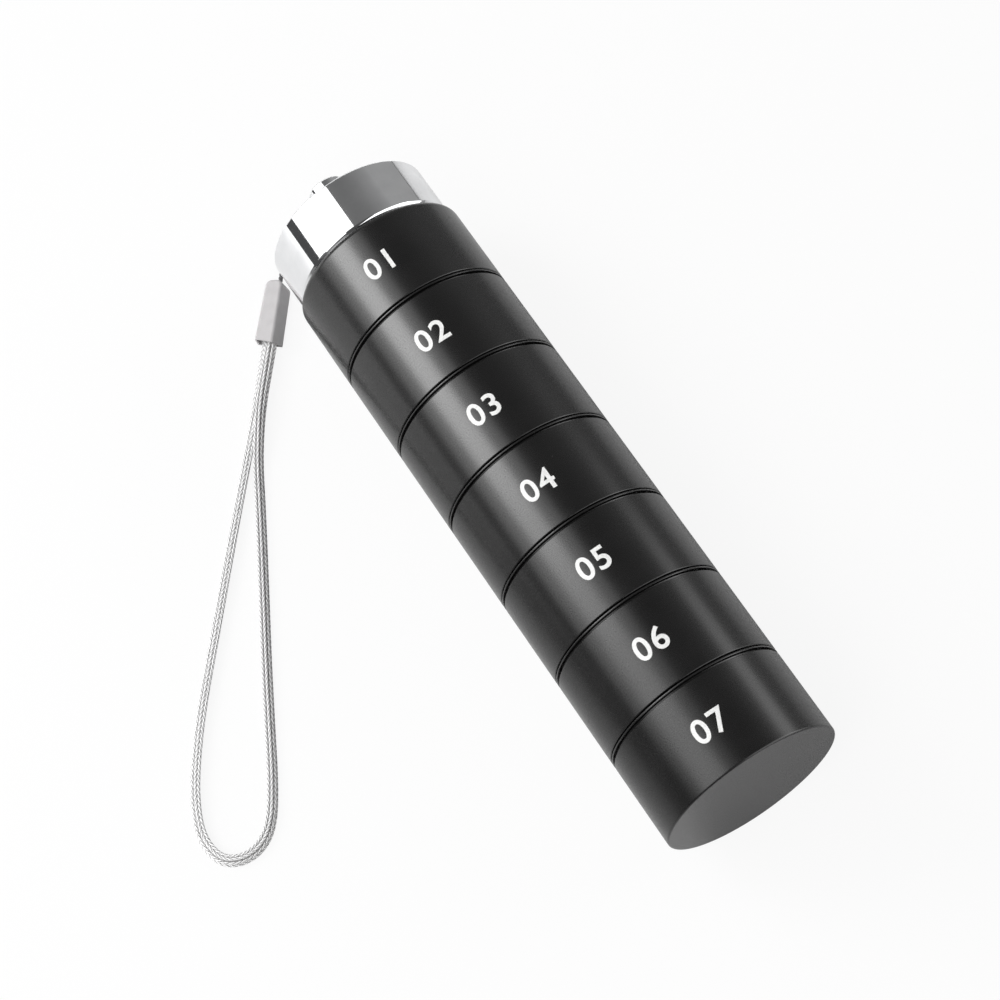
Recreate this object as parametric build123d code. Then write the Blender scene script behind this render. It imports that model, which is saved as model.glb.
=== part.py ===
"""Weekly pill organizer: a lying stack of seven screwed aluminium cups, a chrome cap and a wrist strap."""

from build123d import *
import math
import os

# Stack of cups, along its own axis
cup_count = 7
cup_pitch = 18.0
cup_diameter = 35.0
socket_wall = 2.3
neck_wall = 1.6
floor_thickness = 1.6
floor_corner = 1.0
rim_chamfer = 0.12
rim_gap = 0.15
top_edge_round = 1.4
base_edge_round = 0.4

# Groove turned below the shoulder of each cup that carries another, and the thin collar above it
groove_width = 0.6
groove_depth = 0.45
collar_height = 0.4

# Screw joint between two cups, plain where the thread is cut
neck_height = 5.6
neck_lead_in = 0.6
thread_gap = 0.8
socket_relief = 0.4

# Square-section seal round the root of each neck
seal_height = 1.2
seal_fit = 0.05

# Chrome cap
cap_wall = 1.3
cap_height = 11.4
cap_top_thickness = 2.4
cap_rim_chamfer = 0.5
cap_top_chamfer = 0.4

# Lanyard post and the screw that holds it to the cap
post_diameter = 7.9
post_height = 8.7
post_edge = 0.5
eye_diameter = 2.6
eye_height = 5.4
screw_diameter = 3.0
screw_grip = 3.2
screw_head_diameter = 5.6
screw_head_height = 1.7
screw_fit = 0.08
drive_width = 0.8
drive_depth = 0.7

# Ferrule that joins the thread to the strap
ferrule_length = 13.6
ferrule_width = 5.2
ferrule_thickness = 4.1
ferrule_corner = 1.1
ferrule_narrowing = 0.7
ferrule_end_round = 2.0
ferrule_wall = 0.35
ferrule_mouth_depth = 8.0
ferrule_mouth_place = (-56.9, -23.1)
ferrule_heading_degrees = 141.5

# Braided strap, lying on the table: one cord out of the ferrule and back
strap_diameter = 1.8
strap_route = [
    (-64.24, -17.87, 1.27),
    (-53.67, -26.27, 1.23),
    (-41.8, -35.7, 1.0),
    (-25.8, -48.8, 0.9),
    (-9.8, -61.6, 0.9),
    (2.2, -71.3, 0.9),
    (11.2, -77.6, 0.9),
    (18.0, -81.5, 0.9),
    (24.2, -83.7, 0.9),
    (29.5, -83.0, 0.9),
    (31.7, -79.6, 0.9),
    (31.3, -75.4, 0.9),
    (28.4, -71.6, 0.9),
    (21.7, -67.5, 0.9),
    (11.4, -62.3, 0.9),
    (0.5, -56.7, 0.9),
    (-9.5, -51.4, 0.9),
    (-19.8, -45.95, 0.9),
    (-29.3, -41.0, 0.9),
    (-35.8, -37.7, 1.0),
    (-41.65, -34.06, 2.3),
    (-46.87, -30.49, 2.72),
    (-53.09, -25.53, 2.83),
    (-63.65, -17.13, 2.83),
]

# Thread loop from the ferrule through the eye of the post and back
thread_diameter = 0.7
thread_route = [
    (-65.4, -16.33, 2.6),
    (-68.8, -13.63, 2.6),
    (-72.1, -10.9, 4.0),
    (-73.1, -8.9, 8.0),
    (-71.5, -8.0, 12.4),
    (-69.9, -6.9, 16.4),
    (-69.75, -3.6, 17.5),
    (-69.75, 3.4, 17.55),
    (-69.9, 6.6, 16.2),
    (-70.6, 6.3, 12.0),
    (-71.8, 2.6, 8.6),
    (-73.0, -2.6, 5.4),
    (-73.2, -7.6, 2.9),
    (-71.4, -11.56, 1.6),
    (-68.3, -14.03, 1.4),
    (-65.4, -16.33, 1.4),
]

# How much of the shorter run each arc of a cord takes up
arc_run_share = 0.45

cup_radius = cup_diameter / 2
socket_radius = cup_radius - socket_wall
neck_radius = socket_radius - thread_gap
chamber_radius = neck_radius - neck_wall
cap_radius = socket_radius + cap_wall
cup_height = cup_pitch - rim_gap
socket_depth = neck_height + socket_relief
stack_height = cup_count * cup_pitch
cap_top = stack_height + cap_height
total_length = cap_top + post_height

# The stack lies along X with its base at +X and its cap at -X, on a table at zero height
lying = Pos(total_length / 2, 0, cup_radius) * Rot(0, -90, 0)


def turned(*profile):
    """A turned piece: the half profile of radius and height, spun about the stack's axis."""
    outline = Polyline(*[(radius, 0, height) for radius, height in profile], close=True)
    return revolve(make_face(outline), Axis.Z)


def rim_edge(piece, radius, height):
    """The round edge of a turned piece at one radius and height."""
    rings = piece.edges().filter_by(GeomType.CIRCLE)
    return rings.sort_by(lambda ring: abs(ring.radius - radius) + abs(ring.center().Z - height))[0]


def cup(is_base, is_top):
    """A cup with a threaded neck above and, unless it is the base, a socket for the neck below it."""
    neck_top = cup_height + neck_height
    underside = 0 if is_base else socket_depth
    floor_top = underside + floor_thickness
    collar_foot = cup_height - collar_height
    groove_foot = collar_foot - groove_width
    groove_radius = cup_radius - groove_depth
    foot = [(socket_radius, 0), (cup_radius - rim_chamfer, 0), (cup_radius, rim_chamfer)]
    foot = [(cup_radius, 0)] if is_base else [(socket_radius, underside), *foot]
    groove = [(cup_radius, groove_foot), (groove_radius, groove_foot), (groove_radius, collar_foot)]
    collar = [(cup_radius, collar_foot), (cup_radius, cup_height - rim_chamfer)]
    shoulder = [*groove, *collar, (cup_radius - rim_chamfer, cup_height)]
    piece = turned(
        (0, underside),
        *foot,
        *([(cup_radius, cup_height)] if is_top else shoulder),
        (neck_radius, cup_height),
        (neck_radius, neck_top - neck_lead_in),
        (neck_radius - neck_lead_in, neck_top),
        (chamber_radius, neck_top),
        (chamber_radius, floor_top + floor_corner),
        (chamber_radius - floor_corner, floor_top),
        (0, floor_top),
    )
    if is_base:
        piece = fillet(rim_edge(piece, cup_radius, 0), base_edge_round)
    if is_top:
        piece = fillet(rim_edge(piece, cup_radius, cup_height), top_edge_round)
    return piece


def seal():
    """A square-section ring that fills the space between a neck's root and the socket over it."""
    inner = neck_radius + seal_fit
    outer = socket_radius - seal_fit
    return turned((inner, seal_fit), (outer, seal_fit), (outer, seal_height), (inner, seal_height))


def cap_shell():
    """The screw cap: a turned shell with a bore for the top neck and a hole for the post's screw."""
    hole_radius = screw_diameter / 2 + screw_fit
    ceiling = cap_height - cap_top_thickness
    return turned(
        (socket_radius, 0),
        (cap_radius - cap_rim_chamfer, 0),
        (cap_radius, cap_rim_chamfer),
        (cap_radius, cap_height - cap_top_chamfer),
        (cap_radius - cap_top_chamfer, cap_height),
        (hole_radius, cap_height),
        (hole_radius, ceiling),
        (socket_radius, ceiling),
    )


def lanyard_post():
    """A chrome post with an eye drilled across it for the thread and a blind hole for its screw."""
    radius = post_diameter / 2
    hole_radius = screw_diameter / 2 + screw_fit
    hole_depth = screw_grip + screw_fit
    post = turned(
        (hole_radius, 0),
        (radius, 0),
        (radius, post_height - post_edge),
        (radius - post_edge, post_height),
        (0, post_height),
        (0, hole_depth),
        (hole_radius, hole_depth),
    )
    eye = Pos(0, 0, eye_height) * Rot(90, 0, 0) * Cylinder(eye_diameter / 2, 2 * post_diameter)
    return post - eye


def post_screw():
    """A slotted screw from inside the cap into the post, with its head under the cap's top."""
    head_radius = screw_head_diameter / 2
    shank_radius = screw_diameter / 2
    shank_top = cap_top_thickness + screw_grip
    screw = turned(
        (0, -screw_head_height),
        (head_radius, -screw_head_height),
        (head_radius, 0),
        (shank_radius, 0),
        (shank_radius, shank_top),
        (0, shank_top),
    )
    slot = Box(2 * screw_head_diameter, drive_width, 2 * drive_depth)
    return screw - Pos(0, 0, -screw_head_height) * slot


def mouth_section(depth):
    """The rounded opening of the ferrule's mouth at one depth behind its rim."""
    narrower = 2 * ferrule_wall + ferrule_narrowing * depth / ferrule_length
    height = ferrule_thickness - 2 * ferrule_wall
    opening = RectangleRounded(ferrule_width - narrower, height, ferrule_corner - ferrule_wall)
    return Plane((depth, 0, 0), x_dir=(0, 1, 0), z_dir=(1, 0, 0)) * opening


def ferrule():
    """A moulded ferrule, narrower and round-ended towards the thread, hollow where the strap goes in."""
    half_mouth = ferrule_width / 2
    half_end = half_mouth - ferrule_narrowing / 2
    near_side = [(0, -half_mouth), (ferrule_length, -half_end)]
    far_side = [(ferrule_length, half_end), (0, half_mouth)]
    plan = make_face(Polyline(*near_side, *far_side, close=True))
    body = extrude(plan, ferrule_thickness / 2, both=True)
    body = fillet(body.edges().filter_by(Axis.Z).sort_by(Axis.X)[-2:], ferrule_end_round)
    rims = body.faces().filter_by(Axis.Z).edges().sort_by(Axis.X)
    body = fillet(rims[2:], ferrule_corner)
    body -= loft([mouth_section(0), mouth_section(ferrule_mouth_depth)])
    heading = math.radians(ferrule_heading_degrees)
    seat = Plane(
        origin=(*ferrule_mouth_place, ferrule_thickness / 2),
        x_dir=(math.cos(heading), math.sin(heading), 0),
        z_dir=(0, 0, 1),
    )
    return seat * body


def cord(name, route, diameter):
    """A tube along straight runs, joined by arcs as large as the two runs beside each corner allow."""
    points = [Vector(*point) for point in route]
    radii = []
    for before, corner, after in zip(points, points[1:], points[2:]):
        shorter_run = min((corner - before).length, (after - corner).length)
        half_turn = math.radians((corner - before).get_angle(after - corner) / 2)
        radii.append(arc_run_share * shorter_run / math.tan(half_turn))
    path = FilletPolyline(*points, radius=radii)
    section = Circle(diameter / 2)
    tube = sweep(Plane(origin=path @ 0, z_dir=path % 0) * section, path=path)
    print(name, "radii", [round(radius, 1) for radius in radii])
    volume_share = tube.volume / (section.area * path.length)
    print(name, "length", round(path.length, 1), "volume share", round(volume_share, 4))
    return tube


pieces = {}
for level in range(cup_count):
    day = cup_count - level
    foot_of_cup = Pos(0, 0, level * cup_pitch)
    shoulder = Pos(0, 0, level * cup_pitch + cup_height)
    pieces[f"day_{day}_cup"] = lying * foot_of_cup * cup(level == 0, day == 1)
    pieces[f"day_{day}_seal"] = lying * shoulder * seal()
pieces["cap_shell"] = lying * Pos(0, 0, stack_height) * cap_shell()
pieces["lanyard_post"] = lying * Pos(0, 0, cap_top) * lanyard_post()
pieces["post_screw"] = lying * Pos(0, 0, cap_top - cap_top_thickness) * post_screw()
pieces["lanyard_ferrule"] = ferrule()
pieces["lanyard_thread"] = cord("lanyard_thread", thread_route, thread_diameter)
pieces["lanyard_strap"] = cord("lanyard_strap", strap_route, strap_diameter)

os.makedirs("parts", exist_ok=True)
for node, piece in pieces.items():
    export_step(piece, f"parts/{node}.step")
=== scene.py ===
import math

import bpy
import numpy as np
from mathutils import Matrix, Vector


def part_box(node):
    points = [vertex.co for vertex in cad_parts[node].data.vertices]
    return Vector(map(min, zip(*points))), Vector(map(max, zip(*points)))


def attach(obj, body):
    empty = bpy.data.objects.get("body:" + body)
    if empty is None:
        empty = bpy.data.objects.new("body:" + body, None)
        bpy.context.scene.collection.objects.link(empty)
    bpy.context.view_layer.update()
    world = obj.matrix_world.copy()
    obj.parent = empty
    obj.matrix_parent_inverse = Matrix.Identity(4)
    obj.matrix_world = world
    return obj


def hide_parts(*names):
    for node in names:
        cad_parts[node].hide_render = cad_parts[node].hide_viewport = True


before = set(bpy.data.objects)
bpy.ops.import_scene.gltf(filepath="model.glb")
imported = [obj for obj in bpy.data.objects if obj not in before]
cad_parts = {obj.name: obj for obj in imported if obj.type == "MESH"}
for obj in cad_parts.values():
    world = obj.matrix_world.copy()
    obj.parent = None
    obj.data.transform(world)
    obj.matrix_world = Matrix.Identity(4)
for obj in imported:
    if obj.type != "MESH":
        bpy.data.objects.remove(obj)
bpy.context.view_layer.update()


# The seven cups, numbered 7 at the base to 1 under the cap. Each is turned from aluminium bar, bored out for
# the pills, cut with a two-start thread on its neck and in its socket, and anodised satin black. The neck of
# one cup screws into the socket of the next, whose floor is then its lid.
base_low, base_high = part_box("day_7_cup")
cup_radius = (base_high.y - base_low.y) / 2
axis_height = (base_high.z + base_low.z) / 2
cup_height = 0.01785
socket_wall = 0.0023
socket_radius = cup_radius - socket_wall
socket_depth = 0.0060
thread_gap = 0.0008
neck_radius = socket_radius - thread_gap
neck_height = 0.0056
neck_lead_in = 0.0006
neck_wall = 0.0016
chamber_radius = neck_radius - neck_wall
floor_thickness = 0.0016
floor_corner = 0.0010
rim_chamfer = 0.00012
seam_rise = 0.00008
groove_width = 0.0006
groove_depth = 0.0008
collar_height = 0.0004
base_edge_round = 0.0004
top_edge_round = 0.0014
round_steps = 7
lathe_sides = 160
edge_break = 0.00007
edge_break_steps = 2
edge_break_angle = math.radians(28)
smooth_angle = math.radians(32)
thread_lead = 0.0030
thread_starts = 2
thread_ridge = 0.00052
thread_row = 0.00012
thread_run_out = 0.0005
thread_foot = 0.0013
thread_crest_share = 0.14
thread_flank_share = 0.16
thread_reach = 0.000007


def pick_out(piece):
    """Selects one piece alone, for the operators that follow."""
    bpy.ops.object.select_all(action="DESELECT")
    piece.select_set(True)
    bpy.context.view_layer.objects.active = piece


def turned(name, foot, profile, is_ring=False):
    """A piece from the lathe: a circle drawn out ring by ring along the stack, from its foot towards the cap.

    The profile holds radius and height above the foot. A ring joins its two ends, any other piece fills them."""
    bpy.ops.object.select_all(action="DESELECT")
    radius, height = profile[0]
    upright = (0, -math.pi / 2, 0)
    middle = (foot - height, 0, axis_height)
    bpy.ops.mesh.primitive_circle_add(vertices=lathe_sides, radius=radius, location=middle, rotation=upright)
    piece = bpy.context.object
    piece.name = name
    bpy.ops.object.transform_apply(location=True, rotation=True, scale=True)
    bpy.ops.object.mode_set(mode="EDIT")
    for next_radius, next_height in profile[1:]:
        bpy.ops.mesh.extrude_region_move(TRANSFORM_OT_translate={"value": (height - next_height, 0, 0)})
        growth = next_radius / radius
        middle = (foot - next_height, 0, axis_height)
        bpy.ops.transform.resize(value=(1, growth, growth), center_override=middle)
        radius, height = next_radius, next_height
    bpy.ops.mesh.select_mode(type="EDGE")
    bpy.ops.mesh.select_all(action="DESELECT")
    bpy.ops.mesh.select_non_manifold()
    if is_ring:
        bpy.ops.mesh.bridge_edge_loops()
    else:
        bpy.ops.mesh.fill_holes(sides=0)
    bpy.ops.mesh.select_all(action="SELECT")
    bpy.ops.mesh.normals_make_consistent(inside=False)
    bpy.ops.object.mode_set(mode="OBJECT")
    return piece


def break_edges(piece, width):
    """Rounds every sharp edge a little, as tumbling leaves it, and shades the rest smooth."""
    rounding = piece.modifiers.new("edge break", "BEVEL")
    rounding.limit_method = "ANGLE"
    rounding.angle_limit = edge_break_angle
    rounding.width = width
    rounding.segments = edge_break_steps
    pick_out(piece)
    bpy.ops.object.modifier_apply(modifier=rounding.name)
    bpy.ops.object.shade_smooth_by_angle(angle=smooth_angle)


def settle_shading(piece):
    """Lets the large faces of a piece lead its shading, so that its walls stay straight between rounded edges."""
    weighing = piece.modifiers.new("weighted normals", "WEIGHTED_NORMAL")
    weighing.keep_sharp = True
    pick_out(piece)
    bpy.ops.object.modifier_apply(modifier=weighing.name)


def copy_along(piece, name, step):
    """A copy of a piece with its own mesh, moved along the stack."""
    copy = piece.copy()
    copy.data = piece.data.copy()
    copy.name = name
    bpy.context.collection.objects.link(copy)
    pick_out(copy)
    copy.location.x = step
    bpy.ops.object.transform_apply(location=True, rotation=True, scale=True)
    return copy


def cut_thread(piece, foot, wall_radius, low, high, is_inside):
    """Raises the ridges of the screw thread on a plain round wall, between two heights above the foot.

    An inner thread's ridges lie in the grooves of the outer one, so the two turn in each other."""
    mesh = piece.data
    places = np.empty(len(mesh.vertices) * 3, np.float32)
    mesh.vertices.foreach_get("co", places)
    places = places.reshape(-1, 3).astype(float)
    across, above = places[:, 1], places[:, 2] - axis_height
    radius = np.hypot(across, above)
    height = foot - places[:, 0]
    turns = np.arctan2(-above, across) / (2 * math.pi)
    phase = (-places[:, 0] / thread_lead - turns) * thread_starts + (0.5 if is_inside else 0)
    from_crest = np.abs(phase % 1 - 0.5)
    crest = np.clip((thread_crest_share + thread_flank_share - from_crest) / thread_flank_share, 0, 1)
    run_out = np.clip(np.minimum(height - low, high - height) / thread_run_out, 0, 1)
    on_wall = np.abs(radius - wall_radius) < thread_reach
    ridge = thread_ridge * crest * run_out * on_wall * (-1 if is_inside else 1)
    growth = 1 + ridge / np.maximum(radius, edge_break)
    places[:, 1] = across * growth
    places[:, 2] = axis_height + above * growth
    mesh.vertices.foreach_set("co", places.astype(np.float32).ravel())
    mesh.update()


def wall(radius, low, high):
    """A straight wall of a profile, in rows close enough together to carry a thread."""
    rows = math.ceil(abs(high - low) / thread_row)
    return [(radius, height) for height in np.linspace(low, high, rows + 1)]


def rounded(radius, height, size, from_degrees):
    """A quarter round of a profile at an outer edge, from one direction over the next 90 degrees."""
    angles = np.radians(np.linspace(from_degrees, from_degrees + 90, round_steps + 1))
    return [(radius + size * math.cos(a), height + size * math.sin(a)) for a in angles]


def cup(day):
    """A cup with its two threads. The base has a plain closed foot, and the top cup a rounded shoulder."""
    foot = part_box(f"day_{day}_cup")[1].x
    is_base, is_top = day == 7, day == 1
    underside = 0 if is_base else socket_depth
    floor_top = underside + floor_thickness
    neck_top = cup_height + neck_height
    if is_base:
        outline = rounded(cup_radius - base_edge_round, base_edge_round, base_edge_round, -90)
    else:
        outline = wall(socket_radius, underside, seam_rise)
        outline += [(cup_radius - rim_chamfer, seam_rise), (cup_radius, seam_rise + rim_chamfer)]
    if is_top:
        outline += rounded(cup_radius - top_edge_round, cup_height - top_edge_round, top_edge_round, 0)
    else:
        collar_foot = cup_height - collar_height
        groove_foot = collar_foot - groove_width
        groove_radius = cup_radius - groove_depth
        outline += [(cup_radius, groove_foot), (groove_radius, groove_foot), (groove_radius, collar_foot)]
        outline += [(cup_radius, collar_foot), (cup_radius, cup_height - rim_chamfer)]
        outline += [(cup_radius - rim_chamfer, cup_height)]
    outline += wall(neck_radius, cup_height, neck_top - neck_lead_in)
    outline += [(neck_radius - neck_lead_in, neck_top), (chamber_radius, neck_top)]
    outline += [(chamber_radius, floor_top + floor_corner), (chamber_radius - floor_corner, floor_top)]
    piece = turned(f"day_{day}_body", foot, outline)
    break_edges(piece, edge_break)
    cut_thread(piece, foot, neck_radius, cup_height + thread_foot, neck_top - neck_lead_in, False)
    if not is_base:
        cut_thread(piece, foot, socket_radius, thread_foot, socket_depth - thread_run_out, True)
    settle_shading(piece)
    return piece


def add_node(tree, kind, inputs=None, **settings):
    """One node of a material, with its settings and what its sockets hold or are fed by."""
    node = tree.nodes.new(kind)
    for name, value in settings.items():
        setattr(node, name, value)
    for name, value in (inputs or {}).items():
        if isinstance(value, bpy.types.NodeSocket):
            tree.links.new(value, node.inputs[name])
        else:
            node.inputs[name].default_value = value
    return node


def finish_of(name, constants):
    """A material with one shader, whose constants are set on the shader's own sockets."""
    material = bpy.data.materials.new(name)
    material.use_nodes = True
    shader = material.node_tree.nodes["Principled BSDF"]
    for socket, value in constants.items():
        shader.inputs[socket].default_value = value
    return material, material.node_tree, shader


def mix_colours(tree, mask, where_low, where_high):
    """The colour that a mask picks between two others."""
    factor, first, second, result = 0, 6, 7, 2
    inputs = {factor: mask, first: where_low, second: where_high}
    return add_node(tree, "ShaderNodeMix", inputs, data_type="RGBA").outputs[result]


def feed_shader(tree, shader, colour, roughness=None, height=None, strength=0, depth=0):
    """Joins what changes over a surface to its shader: its colour, its roughness and its fine relief."""
    tree.links.new(colour, shader.inputs["Base Color"])
    if roughness is not None:
        tree.links.new(roughness, shader.inputs["Roughness"])
    if height is not None:
        bump = add_node(tree, "ShaderNodeBump", {"Height": height, "Strength": strength, "Distance": depth})
        tree.links.new(bump.outputs["Normal"], shader.inputs["Normal"])


def new_group(name, inputs, outputs):
    """An empty node group with plain number sockets, what it is given and what it has to result in."""
    group = bpy.data.node_groups.new(name, "ShaderNodeTree")
    for socket in inputs:
        group.interface.new_socket(socket, in_out="INPUT", socket_type="NodeSocketFloat")
    for socket in outputs:
        group.interface.new_socket(socket, in_out="OUTPUT", socket_type="NodeSocketFloat")
    return group, group.nodes.new("NodeGroupInput").outputs, group.nodes.new("NodeGroupOutput").inputs


def place_group(tree, group, **values):
    """A node group set in a material with its own values."""
    node = tree.nodes.new("ShaderNodeGroup")
    node.node_tree = group
    for socket, value in values.items():
        node.inputs[socket].default_value = value
    return node.outputs


def fine_grain():
    """Grain that any finish can use: a soft noise between two values, and the same noise as a height."""
    group, given, result = new_group("fine grain", ("Scale", "Low", "High"), ("Value", "Height"))
    where = add_node(group, "ShaderNodeTexCoord").outputs["Object"]
    noise = add_node(group, "ShaderNodeTexNoise", {"Vector": where, "Scale": given["Scale"], "Detail": 5})
    spread = add_node(group, "ShaderNodeMapRange", {
        "Value": noise.outputs["Fac"], "From Min": 0.3, "From Max": 0.7,
        "To Min": given["Low"], "To Max": given["High"]})
    group.links.new(spread.outputs["Result"], result["Value"])
    group.links.new(noise.outputs["Fac"], result["Height"])
    return group


def turning_marks():
    """Faint rings round the stack's axis, left by the lathe under the finish."""
    group, given, result = new_group("turning marks", ("Rings per metre",), ("Height",))
    where = add_node(group, "ShaderNodeTexCoord").outputs["Object"]
    along = add_node(group, "ShaderNodeSeparateXYZ", {"Vector": where}).outputs["X"]
    rings = add_node(group, "ShaderNodeTexNoise", {
        "W": along, "Scale": given["Rings per metre"], "Detail": 2}, noise_dimensions="1D")
    group.links.new(rings.outputs["Fac"], result["Height"])
    return group


def tiny_specks():
    """A few tiny dots of dust or pits, scattered over a surface."""
    group, given, result = new_group("specks", ("Scale", "Size", "Share"), ("Mask",))
    where = add_node(group, "ShaderNodeTexCoord").outputs["Object"]
    cells = add_node(group, "ShaderNodeTexVoronoi", {"Vector": where, "Scale": given["Scale"]}).outputs
    drawn = add_node(group, "ShaderNodeSeparateColor", {"Color": cells["Color"]}).outputs["Red"]
    is_near = add_node(group, "ShaderNodeMath", {0: cells["Distance"], 1: given["Size"]}, operation="LESS_THAN")
    is_drawn = add_node(group, "ShaderNodeMath", {0: drawn, 1: given["Share"]}, operation="LESS_THAN")
    both = {0: is_near.outputs[0], 1: is_drawn.outputs[0]}
    dot = add_node(group, "ShaderNodeMath", both, operation="MULTIPLY")
    group.links.new(dot.outputs[0], result["Mask"])
    return group


oxide_black = (0.0026, 0.0025, 0.0025, 1)
oxide_worn = (0.0052, 0.0050, 0.0050, 1)
dust_grey = (0.16, 0.155, 0.15, 1)
grain, marks, specks = fine_grain(), turning_marks(), tiny_specks()
black_anodised, tree, shader = finish_of("satin_black_anodised", {"IOR": 1.6})
cloud = place_group(tree, grain, Scale=160, Low=0, High=1)
blasted = place_group(tree, grain, Scale=5200, Low=0.24, High=0.29)
lathe_marks = place_group(tree, marks, **{"Rings per metre": 5200})
dust = place_group(tree, specks, Scale=420, Size=0.022, Share=0.25)
dyed = mix_colours(tree, cloud["Value"], oxide_black, oxide_worn)
dusted = mix_colours(tree, dust["Mask"], dyed, dust_grey)
relief = add_node(tree, "ShaderNodeMath", {0: blasted["Height"], 1: lathe_marks["Height"]}, operation="ADD")
feed_shader(tree, shader, dusted, blasted["Value"], relief.outputs[0], strength=0.018, depth=0.00005)

days = range(7, 0, -1)
cups = {day: cup(day) for day in (7, 6, 1)}
for day in (5, 4, 3, 2):
    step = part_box(f"day_{day}_cup")[1].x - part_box("day_6_cup")[1].x
    cups[day] = copy_along(cups[6], f"day_{day}_body", step)
for day in days:
    cups[day].data.materials.append(black_anodised)
    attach(cups[day], f"day_{day}")
    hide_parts(f"day_{day}_cup")


# The day numerals, one pair of plain figures printed in white ink on the side of each cup. A pad print lies
# on the metal as a thin skin, so each is a flat figure that is given a little body and wrapped round the cup.
figure_size = 0.0062
figure_height = 0.0083
figure_gain = 0.00009
figure_spacing = 1.13
figure_curve_steps = 8
figure_strip = 0.0004
figure_merge = 0.000003
ink_skin = 0.00003
ink_seat = 0.00002
facing_lean = math.radians(15.3)
ink_white = (0.82, 0.82, 0.81, 1)
ink_thin = (0.68, 0.68, 0.67, 1)

white_ink, tree, shader = finish_of("white_ink", {"IOR": 1.5})
patchy = place_group(tree, grain, Scale=2600, Low=0, High=1)
matt = place_group(tree, grain, Scale=5200, Low=0.42, High=0.55)
cover = mix_colours(tree, patchy["Value"], ink_white, ink_thin)
feed_shader(tree, shader, cover, matt["Value"], patchy["Height"], strength=0.1, depth=0.00003)


def spread_ink(figure):
    """Moves the outline of a flat figure outwards, as the ink spreads under the pad."""
    points = figure.data.vertices
    faces = [list(face.vertices) for face in figure.data.polygons]
    sides = [side for face in faces for side in zip(face, face[1:] + face[:1])]
    inner = {(b, a) for a, b in sides}
    outward = {}
    for a, b in sides:
        if (a, b) not in inner:
            along = (points[b].co - points[a].co).normalized()
            for point in (a, b):
                outward.setdefault(point, []).append(along.cross((0, 0, 1)))
    for point, (before, after) in outward.items():
        points[point].co += figure_gain * (before + after) / (1 + before.dot(after))


for day in days:
    bpy.ops.object.select_all(action="DESELECT")
    bpy.ops.object.text_add()
    figure = bpy.context.object
    figure.name = f"day_{day}_numeral"
    figure.data.body = f"{day:02d}"
    figure.data.align_x = "CENTER"
    figure.data.align_y = "CENTER"
    figure.data.size = figure_size
    figure.data.space_character = figure_spacing
    figure.data.resolution_u = figure_curve_steps
    bpy.ops.object.convert(target="MESH")
    half_width = figure.dimensions.x / 2
    bpy.ops.object.mode_set(mode="EDIT")
    bpy.ops.mesh.select_all(action="SELECT")
    bpy.ops.mesh.remove_doubles(threshold=figure_merge)
    bpy.ops.object.mode_set(mode="OBJECT")
    spread_ink(figure)
    bpy.ops.object.mode_set(mode="EDIT")
    for cut in np.arange(-half_width + figure_strip / 2, half_width, figure_strip):
        bpy.ops.mesh.select_all(action="SELECT")
        bpy.ops.mesh.bisect(plane_co=(cut, 0, 0), plane_no=(1, 0, 0))
    bpy.ops.mesh.select_all(action="SELECT")
    bpy.ops.mesh.extrude_region_move(TRANSFORM_OT_translate={"value": (0, 0, ink_skin + ink_seat)})
    bpy.ops.mesh.select_all(action="SELECT")
    bpy.ops.mesh.normals_make_consistent(inside=False)
    bpy.ops.object.mode_set(mode="OBJECT")
    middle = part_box(f"day_{day}_cup")[1].x - figure_height
    for point in figure.data.vertices:
        across, up, proud = point.co
        turn = across / cup_radius - facing_lean
        out = cup_radius - ink_seat + proud
        point.co = (middle - up, out * math.sin(turn), axis_height + out * math.cos(turn))
    figure.data.materials.append(white_ink)
    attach(figure, f"day_{day}")


# The seals, one silicone ring pressed round the root of each neck. A ring is moulded with rounded corners and
# fills the space under the socket of the piece above, which it is dragged round with.
first_low, first_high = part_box("day_7_seal")
seal_outer = (first_high.y - first_low.y) / 2
seal_inner = neck_radius + (socket_radius - seal_outer)
seal_height = first_high.x - first_low.x
seal_corner = 0.00028
silicone_grey = (0.07, 0.07, 0.07, 1)
silicone_bloom = (0.12, 0.12, 0.12, 1)

silicone, tree, shader = finish_of("matt_silicone", {"IOR": 1.41})
bloom = place_group(tree, grain, Scale=900, Low=0, High=1)
skin = place_group(tree, grain, Scale=6000, Low=0.5, High=0.65)
shade = mix_colours(tree, bloom["Value"], silicone_grey, silicone_bloom)
feed_shader(tree, shader, shade, skin["Value"], skin["Height"], strength=0.15, depth=0.00005)

section = [(seal_inner, 0), (seal_outer, 0), (seal_outer, seal_height), (seal_inner, seal_height)]
first_seal = turned("day_7_ring", first_high.x, section, is_ring=True)
break_edges(first_seal, seal_corner)
settle_shading(first_seal)
first_seal.data.materials.append(silicone)
seals = {7: first_seal}
for day in days[1:]:
    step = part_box(f"day_{day}_seal")[1].x - first_high.x
    seals[day] = copy_along(first_seal, f"day_{day}_ring", step)
for day in days:
    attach(seals[day], f"seal_{day}")
    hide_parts(f"day_{day}_seal")


# The cap, turned from brass, threaded inside and plated with mirror chrome. It screws on the neck of the top
# cup, and the hole in the middle of its top, under the post, is for the post's screw.
cap_low, cap_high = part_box("cap_shell")
cap_radius = (cap_high.y - cap_low.y) / 2
cap_height = cap_high.x - cap_low.x
cap_top_thickness = 0.0024
cap_ceiling = cap_height - cap_top_thickness
cap_hole_radius = 0.00158
cap_rim_rise = 0.0006
cap_rim_cut = 0.0004
cap_top_chamfer = 0.0004
chrome_bright = (0.90, 0.905, 0.915, 1)
chrome_hazed = (0.80, 0.805, 0.815, 1)
pit_roughness = 0.3

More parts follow.
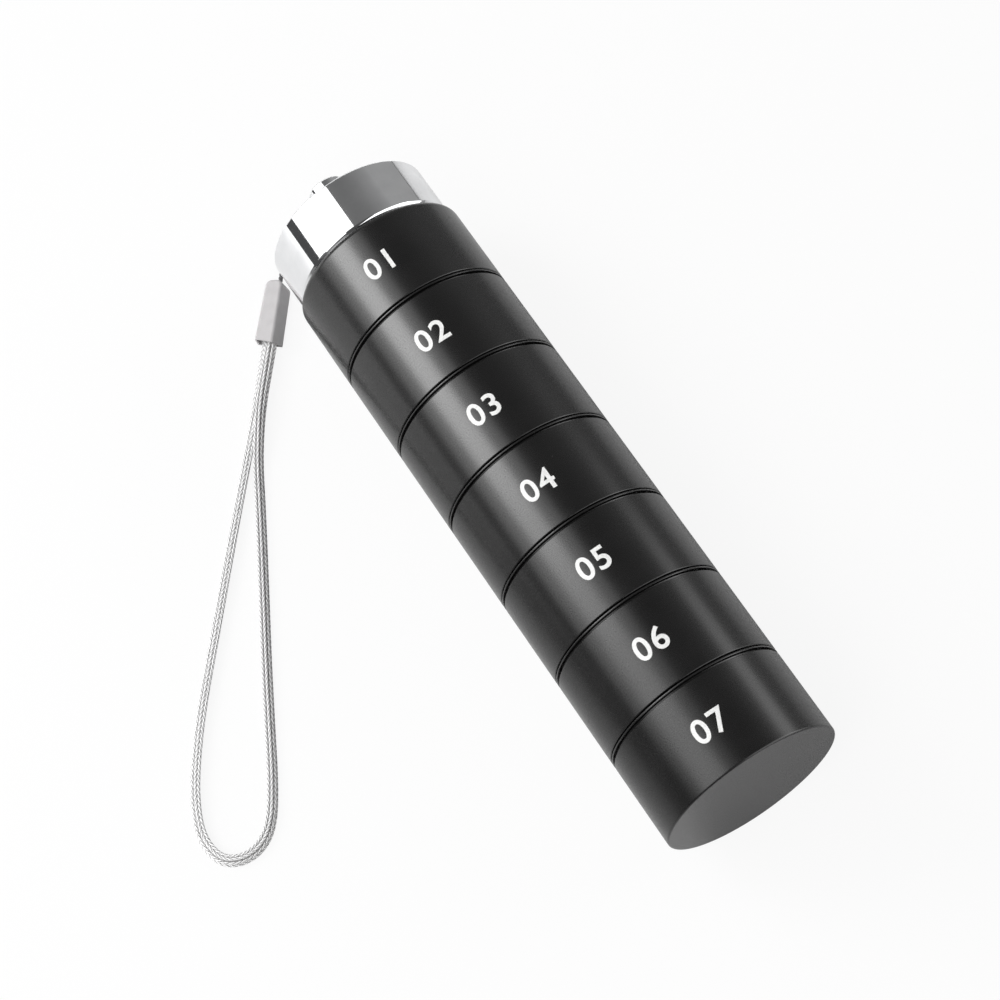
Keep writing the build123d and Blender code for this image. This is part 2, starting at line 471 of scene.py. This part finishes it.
chrome, tree, shader = finish_of("mirror_chrome", {"Metallic": 1})
haze = place_group(tree, grain, Scale=220, Low=0, High=1)
wiped = place_group(tree, grain, Scale=700, Low=0.035, High=0.06)
pits = place_group(tree, specks, Scale=500, Size=0.02, Share=0.12)
plated = mix_colours(tree, haze["Value"], chrome_bright, chrome_hazed)
pitted = add_node(tree, "ShaderNodeMath", {
    0: pits["Mask"], 1: pit_roughness, 2: wiped["Value"]}, operation="MULTIPLY_ADD")
feed_shader(tree, shader, plated, pitted.outputs[0])

outline = [(cap_hole_radius, cap_ceiling)]
outline += wall(socket_radius, cap_ceiling, 0)
outline += [(cap_radius - cap_rim_cut, 0), (cap_radius, cap_rim_rise)]
outline += [(cap_radius, cap_height - cap_top_chamfer), (cap_radius - cap_top_chamfer, cap_height)]
outline += [(cap_hole_radius, cap_height)]
cap = turned("cap_body", cap_high.x, outline, is_ring=True)
break_edges(cap, edge_break)
cut_thread(cap, cap_high.x, socket_radius, thread_foot, neck_height + thread_run_out, True)
settle_shading(cap)
cap.data.materials.append(chrome)
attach(cap, "cap")
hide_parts("cap_shell")


# The lanyard post, a stub turned from brass and chrome plated like the cap. A screw from inside the cap holds it,
# and an eye is drilled across it for the thread.
post_low, post_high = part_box("lanyard_post")
post_radius = (post_high.y - post_low.y) / 2
post_height = post_high.x - post_low.x
post_edge = 0.0005
eye_radius = 0.0013
eye_height = 0.0054
eye_break = 0.00025
drill_length = 4 * post_radius
drill_sides = 64

outline = [(post_radius, 0), (post_radius, post_height - post_edge), (post_radius - post_edge, post_height)]
post = turned("post_body", post_high.x, outline)
bpy.ops.object.select_all(action="DESELECT")
eye_place = (post_high.x - eye_height, 0, axis_height)
lying = (math.pi / 2, 0, 0)
bpy.ops.mesh.primitive_cylinder_add(
    vertices=drill_sides, radius=eye_radius, depth=drill_length, location=eye_place, rotation=lying)
drill = bpy.context.object
eye = post.modifiers.new("eye", "BOOLEAN")
eye.operation = "DIFFERENCE"
eye.solver = "EXACT"
eye.object = drill
bpy.context.view_layer.objects.active = post
bpy.ops.object.modifier_apply(modifier=eye.name)
bpy.data.objects.remove(drill)
break_edges(post, eye_break)
settle_shading(post)
post.data.materials.append(chrome)
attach(post, "cap")
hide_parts("lanyard_post")


# The post's screw, a plain slotted steel screw. It goes up through the hole in the cap into the post, and its
# head lies against the inside of the cap.
steel_bright = (0.56, 0.56, 0.57, 1)
steel_dull = (0.40, 0.40, 0.41, 1)
steel, tree, shader = finish_of("plain_steel", {"Metallic": 1})
dulled = place_group(tree, grain, Scale=900, Low=0, High=1)
brushed = place_group(tree, grain, Scale=3000, Low=0.28, High=0.42)
shade = mix_colours(tree, dulled["Value"], steel_bright, steel_dull)
feed_shader(tree, shader, shade, brushed["Value"])
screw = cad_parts["post_screw"]
screw.data.materials.clear()
screw.data.materials.append(steel)


# The ferrule, a sleeve moulded in silver grey plastic and crimped over the ends of the strap and the thread.
# It narrows upwards and towards the thread, is rounded there, and its slanted mouth is hollow round the two
# strands. It lies rolled over a little on one long edge, as the thread pulls it.
ferrule_length = 0.0136
ferrule_width = 0.0054
ferrule_thickness = 0.0040
ferrule_top_share = 0.70
ferrule_narrow_share = 0.865
ferrule_corner = 0.0005
ferrule_corner_steps = 6
ferrule_end_round = 0.0012
ferrule_end_steps = 8
ferrule_wall = 0.00035
ferrule_mouth_depth = 0.0080
ferrule_undercut = 0.0011
ferrule_slant = 0.0008
ferrule_lip = 0.0001
ferrule_mouth_place = (-0.0569, -0.0231)
ferrule_heading = math.radians(141.5)
ferrule_roll = math.radians(15)
ferrule_aside = 0.0004
square_facing = 0.9
mouth_facing = 0.8
rim_height_share = 0.9

bpy.ops.object.select_all(action="DESELECT")
bpy.ops.mesh.primitive_cube_add(size=1, location=(ferrule_length / 2, 0, 0))
ferrule = bpy.context.object
ferrule.name = "ferrule_sleeve"
ferrule.scale = (ferrule_length, ferrule_width, ferrule_thickness)
bpy.ops.object.transform_apply(location=True, rotation=True, scale=True)


def select_edges(piece, is_wanted):
    """Selects the edges of a piece in edit mode by the places of their two ends."""
    bpy.ops.object.mode_set(mode="EDIT")
    bpy.ops.mesh.select_mode(type="EDGE")
    bpy.ops.mesh.select_all(action="DESELECT")
    bpy.ops.object.mode_set(mode="OBJECT")
    points = piece.data.vertices
    for edge in piece.data.edges:
        edge.select = is_wanted(*[points[i].co for i in edge.vertices])
    bpy.ops.object.mode_set(mode="EDIT")


def select_faces(piece, is_wanted):
    """Selects the faces of a piece in edit mode by their normal."""
    bpy.ops.object.mode_set(mode="EDIT")
    bpy.ops.mesh.select_mode(type="FACE")
    bpy.ops.mesh.select_all(action="DESELECT")
    bpy.ops.object.mode_set(mode="OBJECT")
    for face in piece.data.polygons:
        face.select = is_wanted(face.normal)
    bpy.ops.object.mode_set(mode="EDIT")


def is_at_mouth(a, b):
    """True of the four edges round the strap's end."""
    return max(a.x, b.x) < ferrule_length / 2


def is_end_edge(a, b):
    """True of the two upright edges at the thread's end."""
    return min(a.x, b.x) > ferrule_length / 2 and abs(a.z - b.z) > ferrule_thickness / 2


def is_long_rim(a, b):
    """True of the edges round the upper and the lower face, without those at the mouth."""
    return not is_at_mouth(a, b) and abs(a.z + b.z) > rim_height_share * ferrule_thickness


select_faces(ferrule, lambda normal: normal.x > square_facing)
bpy.ops.transform.resize(value=(1, ferrule_narrow_share, 1), center_override=(ferrule_length, 0, 0))
select_faces(ferrule, lambda normal: normal.z > square_facing)
bpy.ops.transform.resize(value=(1, ferrule_top_share, 1), center_override=(0, 0, 0))
select_edges(ferrule, lambda a, b: is_at_mouth(a, b) and max(a.z, b.z) < 0)
bpy.ops.transform.translate(value=(ferrule_undercut, 0, 0))
select_edges(ferrule, lambda a, b: is_at_mouth(a, b) and max(a.y, b.y) < 0)
bpy.ops.transform.translate(value=(-ferrule_slant, 0, 0))
select_edges(ferrule, is_end_edge)
bpy.ops.mesh.bevel(offset=ferrule_end_round, segments=ferrule_end_steps, affect="EDGES")
select_edges(ferrule, is_long_rim)
bpy.ops.mesh.bevel(offset=ferrule_corner, segments=ferrule_corner_steps, affect="EDGES")
select_faces(ferrule, lambda normal: normal.x < -mouth_facing)
bpy.ops.mesh.inset(thickness=ferrule_wall)
bpy.ops.mesh.extrude_region_move(TRANSFORM_OT_translate={"value": (ferrule_mouth_depth, 0, 0)})
bpy.ops.object.mode_set(mode="OBJECT")
break_edges(ferrule, ferrule_lip)
settle_shading(ferrule)
edge_across = (ferrule_width / 2 - ferrule_corner) * math.sin(ferrule_roll)
edge_down = (ferrule_thickness / 2 - ferrule_corner) * math.cos(ferrule_roll)
ferrule_height = edge_across + edge_down + ferrule_corner
ferrule.rotation_euler = (-ferrule_roll, 0, ferrule_heading)
ferrule.location = (
    ferrule_mouth_place[0] - ferrule_aside * math.sin(ferrule_heading),
    ferrule_mouth_place[1] + ferrule_aside * math.cos(ferrule_heading), ferrule_height)
bpy.ops.object.transform_apply(location=True, rotation=True, scale=True)

plastic_silver = (0.46, 0.447, 0.452, 1)
plastic_flow = (0.51, 0.497, 0.502, 1)
ferrule_plastic, tree, shader = finish_of("silver_grey_plastic", {"IOR": 1.5})
flow = place_group(tree, grain, Scale=420, Low=0, High=1)
moulded = place_group(tree, grain, Scale=3600, Low=0.36, High=0.46)
shade = mix_colours(tree, flow["Value"], plastic_silver, plastic_flow)
feed_shader(tree, shader, shade, moulded["Value"], moulded["Height"], strength=0.12, depth=0.00005)
ferrule.data.materials.append(ferrule_plastic)
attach(ferrule, "cap")
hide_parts("lanyard_ferrule")


# The thread loop, two plies of dark nylon twisted together. It comes out of the ferrule, passes through the eye
# of the post and goes back into the ferrule.
thread_diameter = 0.0007
thread_twist = 0.0016
thread_points_per_twist = 14
ply_radius = thread_diameter / 4
ply_half_width = 1.25 * ply_radius
ply_half_thickness = 1.05 * ply_radius
ply_sides = 8
side_guide = (0.2, 0.1, 1)
route_order = 3
route_steps = 24
thread_route = [
    (-0.0654, -0.01633, 0.0026),
    (-0.0688, -0.01363, 0.0026),
    (-0.0721, -0.0109, 0.0040),
    (-0.0731, -0.0089, 0.0080),
    (-0.0715, -0.0080, 0.0124),
    (-0.0699, -0.0069, 0.0164),
    (-0.06975, -0.0036, 0.0175),
    (-0.06975, 0.0034, 0.01755),
    (-0.0699, 0.0066, 0.0162),
    (-0.0706, 0.0063, 0.0120),
    (-0.0718, 0.0026, 0.0086),
    (-0.0730, -0.0026, 0.0054),
    (-0.0732, -0.0076, 0.0029),
    (-0.0714, -0.01156, 0.0016),
    (-0.0683, -0.01403, 0.0014),
    (-0.0654, -0.01633, 0.0014),
]


def run_along(line):
    """How far along a line each of its points lies."""
    return np.concatenate([[0], np.cumsum(np.linalg.norm(np.diff(line, axis=0), axis=1))])


def cord_line(route, step):
    """Even points along a cord: the smooth spline that has the route's points as its control points."""
    curve = bpy.data.curves.new("route", "CURVE")
    curve.dimensions = "3D"
    curve.resolution_u = route_steps
    spline = curve.splines.new("NURBS")
    spline.points.add(len(route) - 1)
    for point, place in zip(spline.points, route):
        point.co = (*place, 1)
    spline.order_u = route_order
    spline.use_endpoint_u = True
    holder = bpy.data.objects.new("route", curve)
    mesh = bpy.data.meshes.new_from_object(holder)
    line = np.array([point.co for point in mesh.vertices])
    bpy.data.objects.remove(holder)
    bpy.data.curves.remove(curve)
    bpy.data.meshes.remove(mesh)
    along = run_along(line)
    at = np.linspace(0, along[-1], math.ceil(along[-1] / step) + 1)
    return at, np.stack([np.interp(at, along, line[:, axis]) for axis in range(3)], axis=1)


def unit(vectors):
    """Each row of an array at length one."""
    return vectors / np.linalg.norm(vectors, axis=1, keepdims=True)


def strands_mesh(name, strands, sides):
    """A piece of closed strands. Each strand gives its middle line and the two half axes of its oval section.

    Every point carries how far along its strand and how far round it lies, for the fibres of its finish and, on
    the strap, for the painted shade on the inner side of each yarn."""
    places, faces, fibres = [], [], []
    turn = np.arange(sides) * 2 * math.pi / sides
    for line, wide, thick in strands:
        first = len(places)
        along = run_along(line)
        for index in range(len(line)):
            for angle in turn:
                places.append(line[index] + math.cos(angle) * wide[index] + math.sin(angle) * thick[index])
                fibres.append((along[index], math.cos(angle), math.sin(angle)))
        for index in range(len(line) - 1):
            ring = first + index * sides
            for side in range(sides):
                after = (side + 1) % sides
                faces.append((ring + side, ring + after, ring + sides + after, ring + sides + side))
        last = first + (len(line) - 1) * sides
        faces.append(tuple(range(first + sides - 1, first - 1, -1)))
        faces.append(tuple(range(last, last + sides)))
    mesh = bpy.data.meshes.new(name)
    mesh.from_pydata(places, [], faces)
    lay = mesh.attributes.new("fibre", "FLOAT_VECTOR", "POINT")
    lay.data.foreach_set("vector", np.array(fibres, np.float32).ravel())
    mesh.validate()
    piece = bpy.data.objects.new(name, mesh)
    bpy.context.collection.objects.link(piece)
    pick_out(piece)
    bpy.ops.object.mode_set(mode="EDIT")
    bpy.ops.mesh.select_all(action="SELECT")
    bpy.ops.mesh.normals_make_consistent(inside=False)
    bpy.ops.object.mode_set(mode="OBJECT")
    bpy.ops.object.shade_smooth()
    return piece


def fibre_lines():
    """Fine lines that run along a strand, as a mask of darker and lighter fibres."""
    group, given, result = new_group("fibres", ("Run", "Count"), ("Mask",))
    lay = add_node(group, "ShaderNodeAttribute", attribute_name="fibre").outputs["Vector"]
    parts = add_node(group, "ShaderNodeSeparateXYZ", {"Vector": lay}).outputs
    run = add_node(group, "ShaderNodeMath", {0: parts["X"], 1: given["Run"]}, operation="MULTIPLY").outputs[0]
    around = add_node(group, "ShaderNodeMath", {0: parts["Y"], 1: given["Count"]}, operation="MULTIPLY").outputs[0]
    across = add_node(group, "ShaderNodeMath", {0: parts["Z"], 1: given["Count"]}, operation="MULTIPLY").outputs[0]
    laid = add_node(group, "ShaderNodeCombineXYZ", {"X": run, "Y": around, "Z": across}).outputs["Vector"]
    lines = add_node(group, "ShaderNodeTexNoise", {"Vector": laid, "Scale": 1, "Detail": 2})
    group.links.new(lines.outputs["Fac"], result["Mask"])
    return group


nylon_dark = (0.055, 0.055, 0.058, 1)
nylon_light = (0.16, 0.16, 0.165, 1)
fibres = fibre_lines()
nylon_thread, tree, shader = finish_of("twisted_nylon", {"IOR": 1.53, "Sheen Weight": 0.3})
combed = place_group(tree, fibres, Run=900, Count=5)
fuzz = place_group(tree, grain, Scale=9000, Low=0.45, High=0.65)
shade = mix_colours(tree, combed["Mask"], nylon_dark, nylon_light)
feed_shader(tree, shader, shade, fuzz["Value"], combed["Mask"], strength=0.4, depth=0.00004)

at, thread_line = cord_line(thread_route, thread_twist / thread_points_per_twist)
ahead = unit(np.gradient(thread_line, axis=0))
sideways = unit(np.cross(ahead, side_guide))
upwards = np.cross(sideways, ahead)
plies = []
for start in (0, math.pi):
    angle = (at / thread_twist * 2 * math.pi + start)[:, None]
    out = np.cos(angle) * sideways + np.sin(angle) * upwards
    line = thread_line + ply_radius * out
    over = np.cross(unit(np.gradient(line, axis=0)), out)
    plies.append((line, ply_half_thickness * out, ply_half_width * over))
thread = strands_mesh("thread_loop", plies, ply_sides)
thread.data.materials.append(nylon_thread)
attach(thread, "cap")
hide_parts("lanyard_thread")


# The strap, a flat cord knitted from silver polyester yarn round a soft core, one loop with both ends crimped
# in the ferrule. Its columns of stitches slant left and right in turn. It lies on the table with its outer face
# leaning outwards, and one strand passes over the other at the ferrule. The shade in the gaps of the knit is
# painted: each yarn is painted dark grey on the side that faces into the cord, and the core is painted dark grey.
strap_half_width = 0.00117
strap_half_thickness = 0.00066
strap_lean = math.radians(38)
strap_lean_fade = 0.030
strap_squeeze_share = 0.60
strap_squeeze_run = (0.0040, 0.0100)
column_degrees = (0, 65, 115, 180, 245, 295)
column_yarns = 3
stitch_twist = 0.00312
stitch_points_per_twist = 11
stitch_radius = 0.00016
yarn_wide = 0.00020
yarn_thick = 0.00014
yarn_sides = 6
core_sides = 12
strap_route = [
    (-0.06424, -0.01787, 0.00127),
    (-0.05367, -0.02627, 0.00123),
    (-0.0418, -0.0357, 0.0010),
    (-0.0258, -0.0488, 0.0009),
    (-0.0098, -0.0616, 0.0009),
    (0.0022, -0.0713, 0.0009),
    (0.0112, -0.0776, 0.0009),
    (0.0180, -0.0815, 0.0009),
    (0.0242, -0.0837, 0.0009),
    (0.0295, -0.0830, 0.0009),
    (0.0317, -0.0796, 0.0009),
    (0.0313, -0.0754, 0.0009),
    (0.0284, -0.0716, 0.0009),
    (0.0217, -0.0675, 0.0009),
    (0.0114, -0.0623, 0.0009),
    (0.0005, -0.0567, 0.0009),
    (-0.0095, -0.0514, 0.0009),
    (-0.0198, -0.04595, 0.0009),
    (-0.0293, -0.0410, 0.0009),
    (-0.0358, -0.0377, 0.0010),
    (-0.04165, -0.03406, 0.0023),
    (-0.04687, -0.03049, 0.00272),
    (-0.05309, -0.02553, 0.00283),
    (-0.06365, -0.01713, 0.00283),
]

at, strap_line = cord_line(strap_route, stitch_twist / stitch_points_per_twist)
ahead = unit(np.gradient(strap_line, axis=0))
outwards = unit(np.cross(ahead, (0, 0, 1)))
upwards = np.cross(outwards, ahead)
from_end = np.minimum(at, at[-1] - at)[:, None]
lean = strap_lean * np.clip(from_end / strap_lean_fade, 0, 1)
squeeze = np.interp(from_end, strap_squeeze_run, (strap_squeeze_share, 1))
flat = np.cos(lean) * outwards - np.sin(lean) * upwards
face = np.cos(lean) * upwards + np.sin(lean) * outwards
row_width = squeeze * (strap_half_width - stitch_radius - yarn_thick)
row_thickness = strap_half_thickness - stitch_radius - yarn_thick
yarns = []
for index, degrees in enumerate(column_degrees):
    way = 1 if index % 2 else -1
    turn = math.radians(degrees)
    column = strap_line + row_width * math.cos(turn) * flat + row_thickness * math.sin(turn) * face
    out = unit(row_thickness * math.cos(turn) * flat + row_width * math.sin(turn) * face)
    aside = np.cross(out, ahead)
    for start in np.arange(column_yarns) / column_yarns:
        angle = way * 2 * math.pi * (at / stitch_twist + start)[:, None]
        outer = np.cos(angle) * out + np.sin(angle) * aside
        line = column + stitch_radius * outer
        over = unit(np.cross(unit(np.gradient(line, axis=0)), outer))
        yarns.append((line, yarn_wide * over, yarn_thick * outer))
strap = strands_mesh("strap_knit", yarns, yarn_sides)
core = strands_mesh("strap_core", [(strap_line, row_width * flat, row_thickness * face)], core_sides)

# The inner side of each yarn is painted dark grey as painted shade in the gaps of the knit. The outer side keeps
# the yarn's own silver with its fibres.
yarn_silver = (0.90, 0.90, 0.90, 1)
yarn_dull = (0.79, 0.785, 0.785, 1)
yarn_painted_shade = (0.21, 0.207, 0.207, 1)
painted_shade_full, painted_shade_none = -0.2, 0.75
strap_yarn_painted_shade, tree, shader = finish_of("silver_yarn_painted_shade", {"IOR": 1.5, "Sheen Weight": 0.2})
combed = place_group(tree, fibres, Run=500, Count=7)
lustre = place_group(tree, grain, Scale=4000, Low=0.38, High=0.55)
lay = add_node(tree, "ShaderNodeAttribute", attribute_name="fibre").outputs["Vector"]
proud = add_node(tree, "ShaderNodeSeparateXYZ", {"Vector": lay}).outputs["Z"]
painted_shade_mask = add_node(tree, "ShaderNodeMapRange", {"Value": proud, "From Min": painted_shade_full, "From Max": painted_shade_none})
bright = mix_colours(tree, combed["Mask"], yarn_dull, yarn_silver)
shade = mix_colours(tree, painted_shade_mask.outputs["Result"], yarn_painted_shade, bright)
feed_shader(tree, shader, shade, lustre["Value"], combed["Mask"], strength=0.35, depth=0.00004)
strap.data.materials.append(strap_yarn_painted_shade)

# The core's dark grey is painted shade, standing in for the shadow between the stitches.
core_painted_shade = (0.22, 0.217, 0.217, 1)
core_painted_shade_light = (0.31, 0.306, 0.306, 1)
core_yarn_painted_shade, tree, shader = finish_of("grey_core_painted_shade", {"Roughness": 0.8, "IOR": 1.5})
combed = place_group(tree, fibres, Run=700, Count=9)
shade = mix_colours(tree, combed["Mask"], core_painted_shade, core_painted_shade_light)
feed_shader(tree, shader, shade, height=combed["Mask"], strength=0.4, depth=0.00005)
core.data.materials.append(core_yarn_painted_shade)

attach(strap, "cap")
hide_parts("lanyard_strap")
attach(core, "cap")


# The table, a wide white board that the object lies on. What the camera sees of it is mostly glow, so that the
# ground is white and still keeps a faint shadow.
table_size = 6.0
table_white = (0.80, 0.80, 0.80, 1)
table_glow_share = 0.90
pure_white = (1, 1, 1, 1)


def bare_material(name):
    """A material without any node yet."""
    material = bpy.data.materials.new(name)
    material.use_nodes = True
    material.node_tree.nodes.clear()
    return material, material.node_tree


bpy.ops.object.select_all(action="DESELECT")
bpy.ops.mesh.primitive_plane_add(size=table_size, location=(0, 0, 0))
table = bpy.context.object
table.name = "table"
table_paint, tree = bare_material("white_table")
paint = add_node(tree, "ShaderNodeBsdfDiffuse", {"Color": table_white})
glow = add_node(tree, "ShaderNodeEmission", {"Color": pure_white, "Strength": 1})
seen = add_node(tree, "ShaderNodeLightPath").outputs["Is Camera Ray"]
share = add_node(tree, "ShaderNodeMath", {0: seen, 1: table_glow_share}, operation="MULTIPLY")
mixed = add_node(tree, "ShaderNodeMixShader", {0: share.outputs[0], 1: paint.outputs[0], 2: glow.outputs[0]})
add_node(tree, "ShaderNodeOutputMaterial", {"Surface": mixed.outputs[0]})
table.data.materials.append(table_paint)


# The room, grey walls under a dimmer ceiling, darker still beyond the base. Only the camera and clear materials
# see the white backdrop in its place.
wall_light = 0.33
ceiling_light = 0.128
ceiling_fade = (0.6, 0.93)
base_end_share = 0.3
base_end_fade = (0.2, 0.6)

room = bpy.data.worlds.new("grey_room")
room.use_nodes = True
tree = room.node_tree
tree.nodes.clear()
where = add_node(tree, "ShaderNodeTexCoord").outputs["Generated"]
towards = add_node(tree, "ShaderNodeSeparateXYZ", {"Vector": where}).outputs
upper = add_node(tree, "ShaderNodeMapRange", {
    "Value": towards["Z"], "From Min": ceiling_fade[0], "From Max": ceiling_fade[1],
    "To Min": wall_light, "To Max": ceiling_light}).outputs["Result"]
behind = add_node(tree, "ShaderNodeMapRange", {
    "Value": towards["X"], "From Min": base_end_fade[0], "From Max": base_end_fade[1],
    "To Min": 1, "To Max": base_end_share}).outputs["Result"]
dimmed = add_node(tree, "ShaderNodeMath", {0: upper, 1: behind}, operation="MULTIPLY").outputs[0]
walls = add_node(tree, "ShaderNodeBackground", {"Color": pure_white, "Strength": dimmed})
backdrop = add_node(tree, "ShaderNodeBackground", {"Color": pure_white, "Strength": 1})
path = add_node(tree, "ShaderNodeLightPath").outputs
is_clear = {0: path["Is Camera Ray"], 1: path["Is Transmission Ray"]}
clear = add_node(tree, "ShaderNodeMath", is_clear, operation="MAXIMUM")
mixed = add_node(tree, "ShaderNodeMixShader", {0: clear.outputs[0], 1: walls.outputs[0], 2: backdrop.outputs[0]})
add_node(tree, "ShaderNodeOutputWorld", {"Surface": mixed.outputs[0]})
bpy.context.scene.world = room


# The lamps. A long key softbox with a bright strip inside it hangs over the strap's side, narrower in mirror rays
# towards the base. A weaker fill hangs opposite. A panel beyond the base draws the fine rims, and a small lamp
# lights the base's face.
key_lean = math.radians(45.7)
key_distance = 0.70
key_far, key_step, key_near = -0.90, -0.20, 0.40
key_width = 2 * key_distance * math.tan(math.radians(31.6))
key_brightness = 1.3
core_distance = 0.69
core_width = 2 * key_distance * math.tan(math.radians(18))
core_brightness = 1.25
strip_distance = 0.68
strip_far, strip_near = -0.67, -0.25
strip_width = 0.33
strip_brightness = 5.2
fill_lean = math.radians(-58.7)
fill_distance = 0.80
fill_far, fill_near = -0.25, 0.35
fill_width = 0.24
fill_brightness = 1.6
panel_place = (0.47, 0.52, 0.48)
panel_turn = (0, math.radians(56), math.radians(45))
panel_length, panel_width = 0.9, 1.4
panel_brightness = 1.3
base_light_place = (0.40, -0.50, 0.58)
base_light_turn = (0, math.radians(48), math.radians(-51))
base_light_size = 0.4
base_light_brightness = 2.8


def softbox(name, place, turn, length, width, brightness):
    """A rectangular lamp that the camera doesn't see. Its power is four times its brightness times its area."""
    bpy.ops.object.light_add(type="AREA", location=place, rotation=turn)
    lamp = bpy.context.object
    lamp.name = name
    lamp.visible_camera = False
    lamp.data.shape = "RECTANGLE"
    lamp.data.size = length
    lamp.data.size_y = width
    lamp.data.energy = 4 * brightness * length * width
    return lamp


def long_softbox(name, lean, distance, far, near, width, brightness):
    """A softbox along the stack, leaning from overhead towards the strap's side."""
    place = ((far + near) / 2, -distance * math.sin(lean), axis_height + distance * math.cos(lean))
    return softbox(name, place, (lean, 0, 0), near - far, width, brightness)


long_softbox("key_softbox", key_lean, key_distance, key_far, key_step, key_width, key_brightness)
key_spill = long_softbox("key_spill", key_lean, key_distance, key_step, key_near, key_width, key_brightness)
key_spill.visible_glossy = False
key_core = long_softbox("key_core", key_lean, core_distance, key_step, key_near, core_width, core_brightness)
key_core.visible_diffuse = False
long_softbox("key_strip", key_lean, strip_distance, strip_far, strip_near, strip_width, strip_brightness)
long_softbox("fill_softbox", fill_lean, fill_distance, fill_far, fill_near, fill_width, fill_brightness)
end_panel = softbox("end_panel", panel_place, panel_turn, panel_length, panel_width, panel_brightness)
end_panel.visible_diffuse = False
base_light = softbox(
    "base_light", base_light_place, base_light_turn, base_light_size, base_light_size, base_light_brightness)
base_light.visible_glossy = False


# The cards, which only mirror rays see. Each glows at a fixed grey and takes no light, so what it shows in mirror
# rays is painted reflection. A dark card stands between the table and the key softbox and paints the dark strip on
# the chrome. A grey mat on the table, faded towards the stack and the cap, paints a darker reflection on the flank
# of the lower cups.
card_length = 4.0
card_height = 0.2255
card_distance = 0.84
card_painted_reflection = (0.075, 0.075, 0.077, 1)
mat_lift = 0.0004
mat_low = (-0.27, -card_distance)
mat_high = (0.80, -0.015)
mat_slant = 0.26
mat_fade_along = (-0.045, 0.03)
mat_fade_across = (-0.015, -0.11)
mat_painted_reflection = (0.22, 0.22, 0.22, 1)


def hidden_card(name, middle, turn, length, width):
    """A flat card that the camera and soft light pass through."""
    bpy.ops.object.select_all(action="DESELECT")
    bpy.ops.mesh.primitive_plane_add(size=1, location=middle, rotation=turn)
    flat_card = bpy.context.object
    flat_card.name = name
    flat_card.scale = (length, width, 1)
    bpy.ops.object.transform_apply(location=True, rotation=True, scale=True)
    flat_card.visible_camera = False
    flat_card.visible_diffuse = False
    flat_card.visible_shadow = False
    return flat_card


# A fixed dark grey glow that paints the dark reflected strip on the chrome.
card_middle = (0, -card_distance, card_height / 2)
card = hidden_card("dark_card", card_middle, (math.pi / 2, 0, 0), card_length, card_height)
card_reflection_glow, tree = bare_material("painted_dark_reflection")
reflection_glow = add_node(tree, "ShaderNodeEmission", {"Color": card_painted_reflection, "Strength": 1})
add_node(tree, "ShaderNodeOutputMaterial", {"Surface": reflection_glow.outputs[0]})
card.data.materials.append(card_reflection_glow)

# A fixed grey glow, faded by place, that paints darker reflections of the table on the lower cups' flanks.
mat_middle = ((mat_low[0] + mat_high[0]) / 2, (mat_low[1] + mat_high[1]) / 2, mat_lift)
mat = hidden_card("grey_mat", mat_middle, (0, 0, 0), mat_high[0] - mat_low[0], mat_high[1] - mat_low[1])
mat_reflection_glow, tree = bare_material("painted_grey_reflection")
where = add_node(tree, "ShaderNodeTexCoord").outputs["Object"]
place = add_node(tree, "ShaderNodeSeparateXYZ", {"Vector": where}).outputs
slanted = add_node(tree, "ShaderNodeMath", {
    0: place["Y"], 1: -mat_slant, 2: place["X"]}, operation="MULTIPLY_ADD").outputs[0]
along = add_node(tree, "ShaderNodeMapRange", {
    "Value": slanted, "From Min": mat_fade_along[0], "From Max": mat_fade_along[1]}).outputs["Result"]
across = add_node(tree, "ShaderNodeMapRange", {
    "Value": place["Y"], "From Min": mat_fade_across[0], "From Max": mat_fade_across[1]}).outputs["Result"]
cover = add_node(tree, "ShaderNodeMath", {0: along, 1: across}, operation="MULTIPLY")
reflection_glow = add_node(tree, "ShaderNodeEmission", {"Color": mat_painted_reflection, "Strength": 1})
bare = add_node(tree, "ShaderNodeBsdfTransparent")
mixed = add_node(tree, "ShaderNodeMixShader", {0: cover.outputs[0], 1: bare.outputs[0], 2: reflection_glow.outputs[0]})
add_node(tree, "ShaderNodeOutputMaterial", {"Surface": mixed.outputs[0]})
mat.data.materials.append(mat_reflection_glow)


# The camera, a long lens above the base end that looks down along the stack. Its place, turn and lens are fitted
# to the object's outlines, with the cups' diameter as the measure.
camera_place = (0.20222, -0.13225, 0.47536)
camera_azimuth = math.radians(58.0)
camera_elevation = math.radians(62.74)
camera_turn = (math.pi / 2 - camera_elevation, 0, camera_azimuth)
camera_lens = 101.75
camera_sensor = 36
camera_nearest = 0.01
bpy.ops.object.camera_add(location=camera_place, rotation=camera_turn)
camera = bpy.context.object
camera.data.lens = camera_lens
camera.data.sensor_width = camera_sensor
camera.data.clip_start = camera_nearest
bpy.context.scene.camera = camera
bpy.context.scene.view_settings.view_transform = "Standard"
